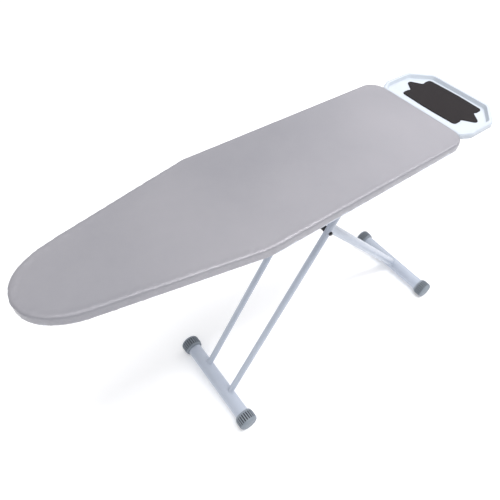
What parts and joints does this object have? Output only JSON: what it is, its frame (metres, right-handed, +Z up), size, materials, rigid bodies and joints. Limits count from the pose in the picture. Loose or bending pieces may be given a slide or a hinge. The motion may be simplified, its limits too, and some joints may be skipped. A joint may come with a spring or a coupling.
{
  "type": "ironing board",
  "caption": "Folding ironing board on crossed T-legs, with a padded metallised top tapering to a blunt nose and a plastic iron rest with a black mat at the tail.",
  "frame": {"origin": "on the floor, under the middle of the box round the whole object", "axes": "+Z up, +X from the nose towards the iron rest, +Y towards the far long side"},
  "size_m": [1.352, 0.38, 0.88],
  "materials": {
    "silver_cover": "satin metallised cotton",
    "felt": "matte",
    "white_steel": "semi-gloss powder coat",
    "zinc_steel": "zinc plated",
    "white_plastic": "satin",
    "black_rubber": "matte",
    "grey_plastic": "matte",
    "black_plastic": "satin"
  },
  "bodies": {
    "board": {"ironing_cover": "silver_cover", "felt_pad": "felt", "mesh_panel": "zinc_steel", "rim_frame": "white_steel", "cross_bar_tail": "white_steel", "cross_bar_hinge": "white_steel", "cross_bar_middle": "white_steel", "cross_bar_front": "white_steel", "cross_bar_nose": "white_steel", "leg_rail_near": "white_steel", "leg_rail_far": "white_steel", "hinge_bracket_near": "zinc_steel", "hinge_bracket_far": "zinc_steel", "bracket_rivets": "zinc_steel", "hinge_pins": "zinc_steel", "height_rack_near": "zinc_steel", "height_rack_far": "zinc_steel", "rack_rivets": "zinc_steel", "lever_pin": "zinc_steel", "lever_spring": "zinc_steel", "iron_rest_tray": "white_plastic", "iron_rest_mat": "black_rubber", "tray_rod_near": "zinc_steel", "tray_rod_far": "zinc_steel", "rod_clips": "zinc_steel", "tray_screws": "zinc_steel"},
    "front_leg": {"front_tube_near": "white_steel", "front_tube_far": "white_steel", "front_foot_tube": "white_steel", "front_cap_near": "grey_plastic", "front_cap_far": "grey_plastic", "tube_end_plugs": "grey_plastic", "pivot_bolt": "zinc_steel", "pivot_cap_near": "black_plastic", "pivot_cap_far": "black_plastic", "pivot_spacer_near": "black_plastic", "pivot_spacer_far": "black_plastic"},
    "rear_leg": {"rear_leg_tube": "white_steel", "rear_foot_tube": "white_steel", "rear_cap_near": "grey_plastic", "rear_cap_far": "grey_plastic", "pivot_bush": "zinc_steel", "top_bar": "zinc_steel", "top_bar_sleeves": "grey_plastic", "top_bar_caps": "grey_plastic"},
    "release_lever": {"release_lever": "zinc_steel", "lever_grip": "grey_plastic"}
  },
  "joints": [
    {"name": "leg_fold", "type": "hinge", "parent": "board", "child": "front_leg", "pos_m": [0.17036, 0, 0.836], "axis": [0, 1, 0], "range_deg": [0, 61.6]},
    {"name": "leg_cross", "type": "hinge", "parent": "front_leg", "child": "rear_leg", "pos_m": [0.07, 0, 0.65], "axis": [0, 1, 0], "range_deg": [-108.9, 0]},
    {"name": "lever_swing", "type": "hinge", "parent": "board", "child": "release_lever", "pos_m": [-0.07, -0.11, 0.848], "axis": [0, 0, 1], "range_deg": [0, 8], "stiffness_Nm_per_rad": 0.4, "springref_deg": -5.73}
  ],
  "couplings": [
    {"joint": "leg_cross", "follows": "leg_fold", "ratio": -1.765}
  ]
}
